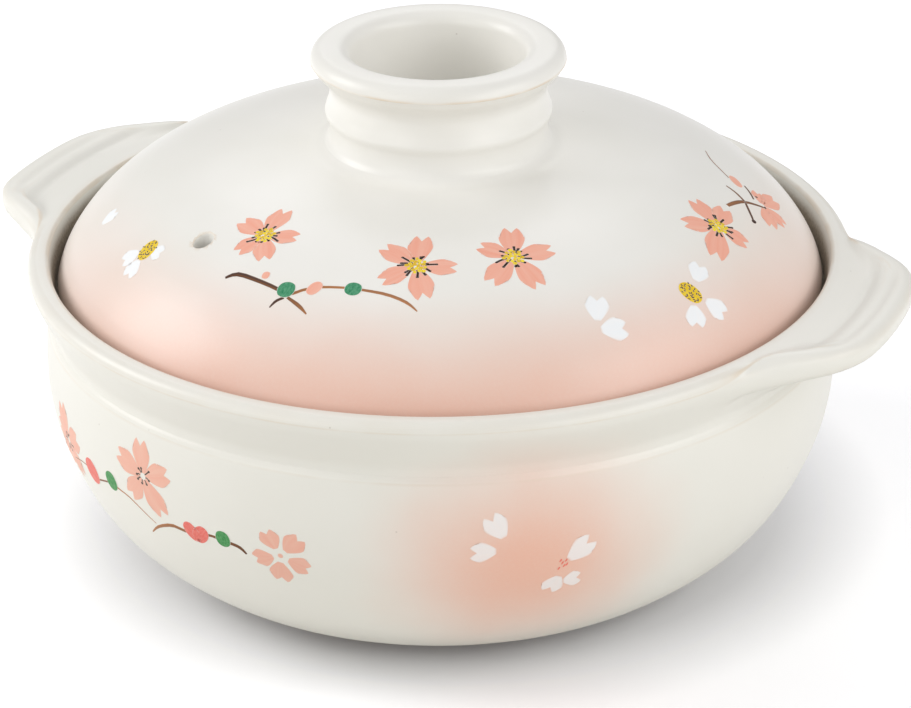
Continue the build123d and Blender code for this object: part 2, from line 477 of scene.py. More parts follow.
# %% Draw the lugs out of the rim
least_section = 5.0 * mm
near = 0.05 * mm
slant_step = radians(0.2)
shoulder_reach = (10 * mm, 17 * mm)
moved = 0
shoulders = pot.vertex_groups.new(name="lug_shoulders")
for vertex in pot.data.vertices:
    x, y, z = vertex.co
    radius = hypot(x, y)
    if radius < neck[0] - near or z < neck[1] - near:
        continue
    off, share = min((hypot(radius - p[0], z - p[1]), s) for p, s in zip(rim_band, band_shares))
    angle = atan2(y, abs(x))
    reach = lug_radius_at(angle, x > 0) - rim_radius
    if off > near or reach <= 0:
        continue
    ahead, behind = (lug_radius_at(angle + step, x > 0) for step in (slant_step, -slant_step))
    lean = (ahead - behind) / (2 * slant_step)
    slant = hypot(1, lean / (rim_radius + reach))
    drawn = lug_point(share, rim_radius + max(reach, least_section), slant)
    plain = along(rim_line, share)
    blend = min(reach / least_section, 1)
    grow = (plain[0] + (drawn[0] - plain[0]) * blend) / radius
    vertex.co = (x * grow, y * grow, plain[1] + (drawn[1] - plain[1]) * blend)
    softness = ease((shoulder_reach[1] - reach) / (shoulder_reach[1] - shoulder_reach[0]))
    shoulders.add([vertex.index], softness, "REPLACE")
    moved += 1
print("vertices drawn out for the lugs", moved)

# %% [markdown]
# The potter smooths the shoulders with a wet finger. The Smooth modifier does that here, held by a
# vertex group to the shoulders, so that the lugs' tips keep their full reach.


# %% Smooth the lugs' shoulders
def select_only(thing):
    """Leaves one object selected and active."""
    bpy.ops.object.select_all(action="DESELECT")
    thing.select_set(True)
    bpy.context.view_layer.objects.active = thing


def apply_modifier(thing, kind, **settings):
    """Adds a modifier to the active object, sets it up and applies it."""
    bpy.ops.object.modifier_add(type=kind)
    modifier = thing.modifiers[-1]
    for name, value in settings.items():
        setattr(modifier, name, value)
    bpy.ops.object.modifier_apply(modifier=modifier.name)


select_only(pot)
apply_modifier(pot, "SMOOTH", vertex_group=shoulders.name, factor=0.5, iterations=12)
pot.vertex_groups.remove(pot.vertex_groups["lug_shoulders"])
print("pot reaches", round(max(vertex.co.x for vertex in pot.data.vertices) / mm, 2), "mm out")

# %% [markdown]
# ## The lid and its knob
# The lid is a flat edge, a dome and a ring knob that is hollow down to the dome. The dome follows a
# superellipse, flat on top and quick to fall at the shoulder. Its points crowd towards the edge,
# where it bends most.

# %% Draw the dome
lid_radius = lid_high.y
lid_foot = lid_radius - 6.5 * mm
dome_top = lid_high.z
dome_foot = ledge_height + 2.0 * mm
dome_flatness = 3.7
dome_shoulder = 1.46
knob_join = 38.0 * mm
dome_steps = 52


def dome_height(radius):
    """The height of the dome's outside at a distance from the axis."""
    share = min(radius / lid_radius, 1)
    return dome_foot + (dome_top - dome_foot) * (1 - share**dome_flatness) ** (1 / dome_shoulder)


join_angle = asin(knob_join / lid_radius)
dome_line = []
for step in range(dome_steps + 1):
    radius = lid_radius * cos((pi / 2 - join_angle) * step / dome_steps)
    dome_line.append((radius, dome_height(radius)))
print("dome", round((dome_top - dome_foot) / mm, 1), "mm high")

# %% [markdown]
# The knob has a soft ridge at half its height and a wide rounded lip that fingers hold from below.
# Slip smoothed its join with the dome, so the two are one section. The ceiling of the lid is drawn
# first, from the middle outwards, and the line goes on round the edge and over the top.

# %% Draw the lid's section and turn it
edge_round = 1.2 * mm
knob_radius = knob_high.y
knob_top = knob_high.z
knob_side_steps = (
    (-3.9, 0.9), (-5.0, 2.3), (-5.5, 4.2), (-5.6, 6.4), (-5.3, 8.2), (-4.6, 9.6),
    (-4.25, 10.9), (-4.6, 12.4), (-5.3, 14.4), (-5.8, 16.6), (-5.9, 18.8), (-5.2, 20.9),
    (-3.9, 22.5), (-2.5, 23.8), (-1.3, 25.1), (-0.45, 26.5),
)
knob_side = stretch(knob_side_steps, (knob_radius, dome_top), mm, mm)
knob_lip_round = 4.4 * mm
bore_round = 4.4 * mm
bore_lip = knob_radius - 12.4 * mm
bore_middle = (bore_lip - 0.6 * mm, knob_top - 14 * mm)
bore_foot = bore_lip - 1.5 * mm
bore_fillet = 3.0 * mm
ceiling_steps = (
    (0.0, 128.0), (21.0, 128.0), (42.0, 127.3), (62.5, 125.3),
    (82.7, 119.9), (92.0, 115.3), (100.2, 108.9), (108.2, 102.1),
)
ceiling = stretch(ceiling_steps, (0, 0), mm, mm)
seat_round = 0.6 * mm
lid_outline = [
    *through([*ceiling, (lid_foot, dome_foot)], 4),
    (lid_foot, dome_foot),
    *bend((lid_foot + seat_round, ledge_height + seat_round), seat_round, 180, 270, 3),
    *bend((lid_radius - edge_round, ledge_height + edge_round), edge_round, 270, 360),
    *dome_line,
    *through([*knob_side, (knob_radius, knob_top - knob_lip_round)], 4),
    *bend((knob_radius - knob_lip_round, knob_top - knob_lip_round), knob_lip_round, 0, 90, 8),
    *bend((bore_lip + bore_round, knob_top - bore_round), bore_round, 90, 180, 8),
    bore_middle,
    *bend((bore_foot - bore_fillet, dome_top + bore_fillet), bore_fillet, 0, -90),
    (bore_foot / 2, dome_top),
    (0, dome_top),
]
lid = turn_on_the_wheel("glazed_lid", lid_outline, wheel_columns)

# %% [markdown]
# ## The steam hole
# A hole is punched through the leather-hard lid so that steam can leave, and glaze rounds its rim.
# A cutter with a flared end is turned like everything else and taken out of the lid with a boolean,
# which cuts the hole and rounds its rim in one go. The flared end leans with the dome. The record
# says where the opening is.

# %% Punch the steam hole
openings = frame["record"]["physics"]["openings"]
hole_box = next(opening["box_m"] for opening in openings if opening["name"] == "steam_hole")
hole_place = Vector([(low + high) / 2 for low, high in zip(*hole_box)])
hole_place.z = 0
hole_distance = hole_place.length
hole_height = dome_height(hole_distance)
hole_radius = 3.1 * mm
hole_flare = 0.4 * mm
flare_steps = ((0, -1.6), (0.1, -0.8), (0.45, -0.25), (1.2, 0.02))
flare = stretch(flare_steps, (hole_radius, hole_height), hole_flare, hole_flare)
cut_bottom = hole_height - 20 * mm
cut_top = hole_height + 8 * mm
hole_outline = [(0, cut_bottom), (hole_radius, cut_bottom), *flare, (flare[-1][0], cut_top), (0, cut_top)]
hole_columns = 40
cutter = turn_on_the_wheel("hole_cutter", hole_outline, hole_columns)
slope = (dome_height(hole_distance + mm) - dome_height(hole_distance - mm)) / (2 * mm)
flare_foot = hole_height - 3 * hole_flare
for vertex in cutter.data.vertices:
    if vertex.co.z > flare_foot:
        vertex.co.z += slope * vertex.co.xy.dot(hole_place.xy) / hole_distance
cutter.location = hole_place
select_only(lid)
apply_modifier(lid, "BOOLEAN", operation="DIFFERENCE", solver="EXACT", object=cutter)
bpy.data.objects.remove(cutter)
bpy.ops.object.shade_smooth_by_angle(angle=radians(38))
print("lid faces", len(lid.data.polygons))

# %% [markdown]
# ## The glaze
# Cream stoneware glaze is a soft, semi-matt glass about half a millimetre thick. It draws thin over
# sharp edges, where the clay warms its colour. On a ridge a vertex sticks out of its neighbours'
# plane, the more so the tighter it bends, and an attribute keeps that: 0 at the first radius of
# bend and 1 at the second.


# %% Mark where the glaze runs thin
def mark_thin_glaze(piece, flat_radius, sharp_radius):
    """Writes an attribute that is 1 on sharp ridges and 0 on flat or hollow places."""
    vertices = piece.data.vertices
    ridges = [0.0] * len(vertices)
    for edge in piece.data.edges:
        first, second = (vertices[index] for index in edge.vertices)
        step = second.co - first.co
        if step.length_squared == 0:
            continue
        for vertex, way in ((first, step), (second, -step)):
            bulge = -2 * way.dot(vertex.normal) / step.length_squared
            ridges[vertex.index] = max(ridges[vertex.index], bulge)
    flat, sharp = 1 / flat_radius, 1 / sharp_radius
    attribute = piece.data.attributes.new("thin_glaze", "FLOAT", "POINT")
    attribute.data.foreach_set("value", [min(max((r - flat) / (sharp - flat), 0), 1) for r in ridges])


mark_thin_glaze(pot, 4.5 * mm, 0.9 * mm)
mark_thin_glaze(lid, 2 * mm, 0.6 * mm)
print("ridges marked on", pot.name, lid.name)

# %% [markdown]
# The glaze is a cream with wide, faint clouds in it, and specks where iron in the clay melts through.
# A pink glaze is sprayed over it, as a band round the lid's front edge and as a cloud on the bowl, and
# Map Range eases its misty edge between two limits. All is worked out from the place on the pot, so
# that the enamels can carry the same glaze under their own edges.


# %% Mix the glaze
lid_cream = linear("#EFEDE8")
bowl_cream = linear("#EAE8E1")
cream_shade = linear("#E5E3DA")
iron_speck = linear("#8A7A68")
blush = linear("#EBB9A4")
blush_direction = Vector((cos(radians(-60)), sin(radians(-60)), 0))
cloud_turn = radians(-51)
cloud_middle = Vector((cos(cloud_turn) * 121 * mm, sin(cloud_turn) * 121 * mm, 52 * mm))
cloud_size = Vector((90, 52, 48)) * mm
blush_wrap = {"From Min": -0.45, "From Max": 0.95}
blush_band = {"From Min": 89 * mm, "From Max": 129 * mm}
cloud_edge = {"From Min": 1.2, "From Max": 0.16}


def glaze_colour(node, on_lid):
    """The colour of the glaze at each place of the lid or of the pot."""
    place = node("TexCoord", give="Object")
    flat = node("VectorMath", {0: place, 1: (1, 1, 0)}, operation="MULTIPLY")
    radius = node("VectorMath", {0: flat}, operation="LENGTH")
    lumps = node("TexNoise", {"Vector": place, "Scale": 1 / (45 * mm)})
    lumps = node("MapRange", {"Value": lumps, "From Min": 0.35, "From Max": 0.8, "To Max": 0.55})
    cream = {"Factor": lumps, "A": lid_cream if on_lid else bowl_cream, "B": cream_shade}
    colour = node("Mix", cream, data_type="RGBA")
    drift = node("TexNoise", {"Vector": place, "Scale": 1 / (26 * mm)})
    soft = {"interpolation_type": "SMOOTHSTEP"}
    if on_lid:
        toward = node("VectorMath", {0: flat, 1: blush_direction}, operation="DOT_PRODUCT")
        facing = node("Math", {0: toward, 1: radius}, operation="DIVIDE")
        facing = node("MapRange", {"Value": facing, **blush_wrap}, **soft)
        reach = node("Math", {0: drift, 1: 6 * mm, 2: radius}, operation="MULTIPLY_ADD")
        reach = node("MapRange", {"Value": reach, **blush_band}, **soft)
        sprayed = node("Math", {0: reach, 1: facing}, operation="MULTIPLY")
    else:
        inputs = {"Location": cloud_middle, "Rotation": (0, 0, cloud_turn), "Scale": cloud_size}
        local = node("Mapping", {"Vector": place, **inputs}, vector_type="TEXTURE")
        away = node("VectorMath", {0: local}, operation="LENGTH")
        away = node("Math", {0: drift, 1: 0.24, 2: away}, operation="MULTIPLY_ADD")
        sprayed = node("MapRange", {"Value": away, **cloud_edge}, **soft)
    mist = node("TexNoise", {"Vector": place, "Scale": 1 / (0.8 * mm)})
    mist = node("MapRange", {"Value": mist, "From Min": 0.2, "From Max": 0.6, "To Min": 0.93})
    sprayed = node("Math", {0: sprayed, 1: mist}, operation="MULTIPLY")
    colour = node("Mix", {"Factor": sprayed, "A": colour, "B": blush}, data_type="RGBA")
    specks = node("TexVoronoi", {"Vector": place, "Scale": 1 / (14 * mm)})
    specks = node("MapRange", {"Value": specks, "From Min": 0.025, "From Max": 0.012, "To Max": 0.3})
    return node("Mix", {"Factor": specks, "A": colour, "B": iron_speck}, data_type="RGBA"), place, radius


print("pink cloud reaches", [round(side / mm) for side in cloud_size], "mm from its middle")

# %% [markdown]
# The glaze is wiped off where the pot stands and where lid and ledge touch, or they would fuse in the
# kiln. The three zones are found by height and distance from the axis, and noise makes their
# borders wander like the edge of a sponge stroke.

# %% Mark where the glaze is wiped off
def bare_share(node, place, radius, on_lid):
    """1 where the clay is left bare: the lid's foot edge, the pot's foot and the ledge."""
    height = node("SeparateXYZ", {0: place}, give="Z")
    ripple = node("TexNoise", {"Vector": place, "Scale": 1 / (15 * mm)})
    wobble = node("Math", {0: ripple, 1: 2 * mm, 2: height}, operation="MULTIPLY_ADD")
    if on_lid:
        lid_foot_edge = {"From Min": ledge_height + 3.0 * mm, "From Max": ledge_height + 2.4 * mm}
        return node("MapRange", {"Value": wobble, **lid_foot_edge})
    foot = node("MapRange", {"Value": wobble, "From Min": 6.6 * mm, "From Max": 6.2 * mm})
    within = {"From Min": lip_radius + 0.2 * mm, "From Max": lip_radius - 0.6 * mm}
    ledge = node("MapRange", {"Value": radius, **within})
    above = {"From Min": ledge_height - 3.0 * mm, "From Max": ledge_height - 2.0 * mm}
    below = {"From Min": rim_height + 0.6 * mm, "From Max": rim_height - 4.5 * mm}
    for value, limits in ((height, above), (wobble, below)):
        zone = node("MapRange", {"Value": value, **limits})
        ledge = node("Math", {0: ledge, 1: zone}, operation="MULTIPLY")
    return node("Math", {0: foot, 1: ledge}, operation="MAXIMUM")


print("bare inside", round(lip_radius / mm, 1), "mm from the axis and under the lid's edge")

# %% [markdown]
# The parts come together in one shader. Glaze is glassy, with an index of refraction of 1.5 and a
# satin roughness, and clay is matt. Bump carries what is too fine for the mesh: throwing rings, a
# ripple, and the grit of the clay.

# %% Finish the glaze
warm_edge = linear("#DCCBB4")
bare_clay = linear("#ACA08F")
dark_clay = linear("#8E8172")


def make_glaze(name, on_lid):
    """The finished glaze, with its thin edges, bare clay, ripple and throwing rings."""
    material, tree, shader = new_material(name)
    node = partial(add_node, tree)
    colour, place, radius = glaze_colour(node, on_lid)
    thin = node("Attribute", attribute_name="thin_glaze", give="Fac")
    patchy = node("TexNoise", {"Vector": place, "Scale": 1 / (12 * mm)})
    patchy = node("MapRange", {"Value": patchy, "From Min": 0.3, "From Max": 0.65, "To Min": 0.15})
    thin = node("Math", {0: thin, 1: patchy}, operation="MULTIPLY")
    colour = node("Mix", {"Factor": thin, "A": colour, "B": warm_edge}, data_type="RGBA")
    bare = bare_share(node, place, radius, on_lid)
    grog = node("TexNoise", {"Vector": place, "Scale": 1 / (0.9 * mm), "Detail": 4.0})
    clay = node("MapRange", {"Value": grog, "From Min": 0.35, "From Max": 0.7})
    clay = node("Mix", {"Factor": clay, "A": bare_clay, "B": dark_clay}, data_type="RGBA")
    colour = node("Mix", {"Factor": bare, "A": colour, "B": clay}, data_type="RGBA")
    tree.links.new(colour, shader.inputs["Base Color"])
    roughness = node("MapRange", {"Value": bare, "To Min": 0.34, "To Max": 0.8})
    tree.links.new(roughness, shader.inputs["Roughness"])
    shader.inputs["IOR"].default_value = 1.5
    height = node("SeparateXYZ", {0: place}, give="Z")
    wheel = node("CombineXYZ", {"X": radius if on_lid else 0.0, "Z": height})
    rings = node("TexNoise", {"Vector": wheel, "Scale": 1 / (5.5 * mm), "Detail": 1.0})
    ripple = node("TexNoise", {"Vector": place, "Scale": 1 / (7 * mm)})
    relief = node("Math", {0: ripple, 1: 0.45, 2: rings}, operation="MULTIPLY_ADD")
    gritty = node("Math", {0: grog, 1: bare}, operation="MULTIPLY")
    relief = node("Math", {0: gritty, 1: 0.8, 2: relief}, operation="MULTIPLY_ADD")
    bump = node("Bump", {"Height": relief, "Strength": 0.3, "Distance": 0.3 * mm})
    tree.links.new(bump, shader.inputs["Normal"])
    return material


pot.data.materials.append(make_glaze("cream_stoneware_glaze_on_pot", False))
lid.data.materials.append(make_glaze("cream_stoneware_glaze_on_lid", True))
print("materials", [material.name for material in bpy.data.materials])

# %% [markdown]
# ## Brush marks
# Overglaze enamel is painted on the fired glaze with a loaded brush. Every mark starts as a small
# grid whose points are moved by a rule. The border points are crowded together and carry no ink, so
# the colour thins out at the edge of the mark as it does from a brush. Two more attributes say how
# far along the mark a point lies and how dark the paint is there.


# %% Shape a brush mark
brush_seed = 7
random.seed(brush_seed)


def brush_mark(columns, rows, rule, tone=(0.5, 0.5), soft=0.1):
    """A small grid, shaped by a rule from places between -1 and 1 across and 0 and 1 along."""
    bpy.ops.object.select_all(action="DESELECT")
    bpy.ops.mesh.primitive_grid_add(x_subdivisions=columns, y_subdivisions=rows, size=2)
    mark = bpy.context.object
    seed = random.random() * 50
    inks, brushes, tones = [], [], []
    for vertex in mark.data.vertices:
        edge = max(abs(vertex.co.x), abs(vertex.co.y))
        across = sin(vertex.co.x * pi / 2)
        share = (sin(vertex.co.y * pi / 2) + 1) / 2
        x, y = rule(across, share)
        vertex.co = (x * mm, y * mm, 0)
        inks.append(min((1 - edge) / soft, 1.0))
        brushes.extend((across, share, seed))
        tones.append(tone[0] + (tone[1] - tone[0]) * share)
    mark.data.attributes.new("ink", "FLOAT", "POINT").data.foreach_set("value", inks)
    mark.data.attributes.new("brush", "FLOAT_VECTOR", "POINT").data.foreach_set("vector", brushes)
    mark.data.attributes.new("tone", "FLOAT", "POINT").data.foreach_set("value", tones)
    return mark


def turned(x, y, turn, middle):
    """A point of a mark, turned about the mark's start and moved with it."""
    return (middle[0] + x * cos(turn) - y * sin(turn), middle[1] + x * sin(turn) + y * cos(turn))


print("random seed", brush_seed)

# %% [markdown]
# Three rules draw all of the painting: a notched petal, a round or oval dab, and a stroke along a
# path. All sizes are in millimetres, and small random leans keep copies from looking stamped.


# %% Draw petals, dabs and strokes
def petal(heading, length, start=1.0, fullness=1.0, notch=0.2, soft=0.1, middle=(0, 0)):
    """A notched cherry petal that points from a flower's middle towards a heading in degrees."""
    turn = radians(heading - 90) + random.uniform(-0.03, 0.03)
    half = (1.95 + 0.16 * (length - start)) * fullness * random.uniform(0.95, 1.05)
    lean = random.uniform(-0.4, 0.4)
    notch_side, corner_cut = 0.5, 0.34

    def rule(across, share):
        side = abs(across) / notch_side
        tip = 1 - notch * max(0, 1 - side) ** 1.2 - corner_cut * max(0, side - 1) ** 1.8
        x = half * across * sin(pi * (0.05 + 0.61 * share)) ** 0.85 + lean * share**2
        y = start + (length - start) * 1.05 * share * (1 + (tip - 1) * share**1.5)
        return turned(x, y, turn, middle)

    return brush_mark(12, 12, rule, soft=soft)


def blob(middle, width, height, turn=0.0, tone=(0.5, 0.5), soft=0.1):
    """A round or oval dab of colour."""
    turn = radians(turn)

    def rule(across, share):
        up = 2 * share - 1
        x = width / 2 * across * sqrt(1 - up**2 / 2)
        y = height / 2 * up * sqrt(1 - across**2 / 2)
        return turned(x, y, turn, middle)

    return brush_mark(8, 8, rule, tone, soft)


def stroke(points, widths, tone=(0.5, 0.5)):
    """A stroke along a path, as wide at its parts as a list says."""
    path = through(points, 8) + [points[-1]]
    width_line = [(width, 0) for width in widths]
    look = 0.02

    def rule(across, share):
        x, y = along(path, share)
        ahead = along(path, min(share + look, 1))
        behind = along(path, max(share - look, 0))
        way = Vector((ahead[0] - behind[0], ahead[1] - behind[1])).normalized()
        half = along(width_line, share)[0] / 2 * across
        return (x + way.y * half, y - way.x * half)

    return brush_mark(4, max(4, 3 * len(points)), rule, tone)


print("marks: petal, blob and stroke")

# %% [markdown]
# A mark is laid down in a frame of its own, with X to the right, Y up the slope and Z out of the
# glaze. A ray finds its place: the distance from the axis on the lid or the height on the bowl, and the
# turn. Shrinkwrap lays the mark on the curved glaze, lifted by up to 0.11 mm, so that what is painted
# later lies higher, and Solidify makes the enamel a tenth of a millimetre thick.

# %% Lay marks on the glaze
mark_thickness = 0.1 * mm
groups = {}


def surface_frame(carrier, place):
    """Where a place lies on the lid or the bowl, as a matrix."""
    turn = radians(place[1])
    outward = Vector((cos(turn), sin(turn), 0))
    if carrier is lid:
        start, way = outward * place[0] * mm + Vector((0, 0, 0.2)), Vector((0, 0, -1))
    else:
        start, way = outward * 0.2 + Vector((0, 0, place[0] * mm)), -outward
    point, normal = carrier.ray_cast(start, way)[1:3]
    right = Vector((-outward.y, outward.x, 0))
    up = normal.cross(right).normalized()
    right = up.cross(normal).normalized()
    return Matrix.Translation(point) @ Matrix((right, up, normal)).transposed().to_4x4()


def join_marks(marks):
    """Joins marks to one object and hands it on, active and selected alone."""
    select_only(marks[0])
    for mark in marks[1:]:
        mark.select_set(True)
    if len(marks) > 1:
        bpy.ops.object.join()
    return bpy.context.object


straight_down = {
    "wrap_method": "PROJECT",
    "wrap_mode": "ABOVE_SURFACE",
    "use_project_z": True,
    "use_negative_direction": True,
    "use_positive_direction": True,
}


def paint(group, marks, place, lift):
    """Lays marks on the glaze and keeps them in the group of their body and colour."""
    carrier = lid if group.startswith("lid") else pot
    mark = join_marks(marks)
    mark.matrix_world = surface_frame(carrier, place)
    apply_modifier(mark, "SHRINKWRAP", target=carrier, offset=lift * mm, **straight_down)
    apply_modifier(mark, "SOLIDIFY", thickness=mark_thickness, offset=-1)
    bpy.ops.object.transform_apply(location=True, rotation=True, scale=True)
    groups.setdefault(group, []).append(mark)


print("enamel", mark_thickness / mm, "mm thick")

# %% [markdown]
# ## Enamel colours
# Each enamel is a fritted glass with a metal oxide in it: gold pink, tin white, iron brown, copper
# green and antimony yellow. It fires duller than the glaze, with hardly a shine, or dark twigs would
# look grey. The brush leaves streaks, so noise is stretched along each mark, and the glaze shows
# through the border where the ink ends.


# %% Mix the enamels
enamel_roughness = 0.4
enamel_shine = 0.08


def make_enamel(name, on_lid, first, second, cover=1.0, streak=(2.2, 0.4, 1.0)):
    """An enamel between two colours, painted over the glaze of the lid or of the pot."""
    material, tree, shader = new_material(name)
    node = partial(add_node, tree)
    glaze = glaze_colour(node, on_lid)[0]
    brush = node("Attribute", attribute_name="brush", give="Vector")
    brush = node("VectorMath", {0: brush, 1: streak}, operation="MULTIPLY")
    streaks = node("TexNoise", {"Vector": brush, "Scale": 1.0, "Detail": 3.0})
    streaks = node("MapRange", {"Value": streaks, "From Min": 0.3, "From Max": 0.7})
    spread = node("Math", {0: streaks, 1: 0.5}, operation="SUBTRACT")
    tone = node("Attribute", attribute_name="tone", give="Fac")
    tone = node("Math", {0: spread, 1: 0.5, 2: tone}, operation="MULTIPLY_ADD", use_clamp=True)
    paint = node("Mix", {"Factor": tone, "A": linear(first), "B": linear(second)}, data_type="RGBA")
    ink = node("Attribute", attribute_name="ink", give="Fac")
    ink = node("MapRange", {"Value": ink, "From Max": 0.9, "To Max": cover}, interpolation_type="SMOOTHSTEP")
    thinner = node("MapRange", {"Value": streaks, "To Min": 0.93})
    ink = node("Math", {0: ink, 1: thinner}, operation="MULTIPLY")
    colour = node("Mix", {"Factor": ink, "A": glaze, "B": paint}, data_type="RGBA")
    tree.links.new(colour, shader.inputs["Base Color"])
    shader.inputs["Roughness"].default_value = enamel_roughness
    shader.inputs["Specular IOR Level"].default_value = enamel_shine
    return material


print("enamel roughness", enamel_roughness)

# %% [markdown]
# ## Blossom on the lid
# Five cherry flowers ring the front of the lid. Four show all their petals, and the fifth is seen from
# the side. Headings and lengths are given one by one, because a painter never makes two alike. In the
# middle sit yellow dots and a spray of dark stamens with a dot at each tip.

# %% Paint the pink blossoms of the lid
# Each flower is its place, then the heading and the length of every petal.
lid_blossoms = (
    ((77.2, -104.3), ((105, 13.1), (19, 10.4), (-49, 11.2), (-108, 9.7), (168, 11.6))),
    ((79.3, -67.6), ((87, 13.3), (0, 11.3), (-75, 12.8), (-149, 11.6), (140, 12.9))),
    ((77.6, -46.9), ((78, 13.5), (8, 12.2), (-71, 13.3), (-138, 12.8), (143, 10.7))),
    ((92.4, 1.2), ((63, 12.5), (138, 12.1), (-158, 14.9), (-76, 10.2), (11, 11.4))),
    ((99.8, 18.6), ((19, 7.4), (-20, 12.2), (-149, 10.0), (-99, 9.2))),
)
golden_turn = 2.4


def stamens(count, shortest, longest, width=0.85):
    """A spray of fine strokes from a flower's middle, with a dot at each tip."""
    marks = []
    for number in range(count):
        turn = 2 * pi * number / count + random.uniform(-0.25, 0.25)
        length = random.uniform(shortest, longest)
        way = (cos(turn), sin(turn))
        bow = random.uniform(-0.4, 0.4)
        middle = (way[0] * length * 0.6 - way[1] * bow, way[1] * length * 0.6 + way[0] * bow)
        tip = (way[0] * length, way[1] * length)
        marks.append(stroke([(way[0] * 1.2, way[1] * 1.2), middle, tip], (0.3, width, width)))
        marks.append(blob(tip, 0.95, 0.8))
    return marks


def seed_place(number, count, spread):
    """A place in a circle that is filled evenly, as the seeds of a sunflower fill it."""
    turn = golden_turn * number
    out = spread * sqrt((number + 0.5) / count)
    return (out * cos(turn), out * sin(turn))


def pollen(count, spread, size):
    """Yellow dots scattered round a flower's middle."""
    marks = []
    for number in range(count):
        tone = random.uniform(0, 1)
        middle = seed_place(number, count, spread)
        marks.append(blob(middle, size * random.uniform(0.8, 1.2), size, tone=(tone, tone)))
    return marks


for place, petals in lid_blossoms:
    paint("lid_pink_blossoms", [petal(heading, length) for heading, length in petals], place, 0.05)
for place, petals in lid_blossoms[:4]:
    paint("lid_dark_stamens", stamens(13, 3.2, 5.8), place, 0.08)
    paint("lid_yellow_pollen", pollen(20, 3.1, 1.25), place, 0.11)
print("blossoms", len(lid_blossoms))

# %% [markdown]
# White flowers lie half in the blush. Two show their big yellow middle, an oval dab with dark dashes
# on it, and a few loose petals drift between them.

# %% Paint the white flowers of the lid
# Each place is followed by its petals: the middle's x and y, the heading and the length.
white_petals = (
    ((98.3, -124.6), ((-4.0, -4.9, 243, 6.4), (1.2, -7.0, 278, 6.4), (4.0, 1.4, 20, 4.6))),
    ((102.1, -143.7), ((-0.2, 0.0, 96, 6.5),)),
    ((102.8, -17.8), ((7.7, 4.6, 33, 7.5), (-3.4, -6.8, 244, 7.0), (5.2, -7.1, 301, 7.5))),
    ((99.0, -36.2), ((0.2, -0.2, 72, 8.4),)),
    ((105.0, -35.0), ((0.5, 0.0, -7, 8.2),)),
)


def loose_petal(x, y, heading, length, notch=0.2):
    """A soft white petal by itself, given by its middle."""
    way = Vector((cos(radians(heading)), sin(radians(heading)))) * length / 2
    return petal(heading, length, 0.0, 1.2, notch, 0.5, (x - way.x, y - way.y))


for place, petals in white_petals:
    paint("lid_white_petals", [loose_petal(*numbers) for numbers in petals], place, 0.05)

white_middles = (((98.3, -124.6), 5.9, 8.2, 14), ((102.8, -17.8), 6.1, 8.4, 25))
dash_count = 34
for place, width, height, turn in white_middles:
    paint("lid_yellow_pollen", [blob((0, 0), width, height, turn)], place, 0.08)
    dashes = []
    for number in range(dash_count):
        x, y = seed_place(number, dash_count, 0.92)
        middle = Vector((x * width / 2, y * height / 2))
        middle.rotate(Matrix.Rotation(radians(turn), 2))
        way = random.uniform(0, 2 * pi)
        end = (middle.x + 0.8 * cos(way), middle.y + 0.8 * sin(way))
        dashes.append(stroke([tuple(middle), end], (0.25, 0.42, 0.3)))
    paint("lid_dark_stamens", dashes, place, 0.11)
print("white petals", sum(len(petals) for place, petals in white_petals))

# %% [markdown]
# A bent twig with two green berries and a bud runs below the pink flowers, and a second branch ends in
# a flower seen from the side. The brush starts wide and dark, and runs out thin and pale.

# %% Paint the twigs of the lid
twig_place = (90.2, -84.8)
branch_place = (94.7, 15.2)
# Each stroke is its path, its widths and its tone from dark to tan.
dark_twig = [(-30.9, -0.5), (-27.4, 1.1), (-20.5, -0.5), (-12.7, -3.0), (-9.8, -5.0)]
bridge_twig = [(-10.2, -4.0), (-7.6, -3.7), (-4.7, -1.8), (0.0, 0.0), (6.7, 1.2)]
tan_twig = [(6.7, 1.2), (11.8, 1.6), (19.3, 1.8), (25.5, 0.7), (29.6, -1.4)]
left_shoot = [(-9.8, -5.6), (-11.8, -7.1), (-13.0, -9.5)]
right_shoot = [(-8.9, -5.3), (-4.4, -7.6), (-1.1, -10.0)]
lid_twigs = (
    (dark_twig, (1.0, 1.9, 1.7, 1.5, 1.2), (0.0, 0.25)),
    (bridge_twig, (1.0, 1.3, 1.2, 1.1, 1.0), (0.4, 0.7)),
    (tan_twig, (1.0, 1.1, 1.3, 1.2, 0.4), (0.65, 0.8)),
    (left_shoot, (1.0, 1.2, 0.4), (0.05, 0.0)),
    (right_shoot, (1.0, 1.5, 0.4), (0.3, 0.6)),
)
branch = [(-8.1, 4.6), (-3.6, 2.6), (0.5, -0.2), (5.3, -6.6)]
lid_branches = (
    (branch, (1.5, 1.9, 1.6, 0.8), (0.55, 0.15)),
    ([(0.5, -0.2), (-3.0, -2.0), (-7.6, -4.6)], (0.9, 1.1, 0.9), (0.15, 0.0)),
    ([(4.5, 7.0), (3.1, 3.4), (0.5, -0.2)], (0.7, 1.0, 1.0), (0.3, 0.1)),
    ([(11.8, 1.5), (9.0, -0.9), (5.9, -2.6)], (0.7, 0.9, 0.8), (0.15, 0.1)),
    ([(25.8, 16.2), (18.7, 13.3), (11.2, 6.8)], (0.25, 0.5, 0.5), (0.5, 0.4)),
)
paint("lid_brown_twigs", [stroke(*numbers) for numbers in lid_twigs], twig_place, 0.06)
paint("lid_brown_twigs", [stroke(*numbers) for numbers in lid_branches], branch_place, 0.06)
branch_dots = [blob((-7.9, -4.8), 2.0, 1.7), blob((8.8, -3.2), 1.0, 1.0), blob((5.6, -6.9), 1.2, 1.0)]
paint("lid_dark_stamens", branch_dots, branch_place, 0.11)
berries = [blob((-10.2, -2.7), 5.6, 5.8), blob((9.2, 1.3), 5.2, 5.0)]
paint("lid_green_berries", berries, twig_place, 0.11)
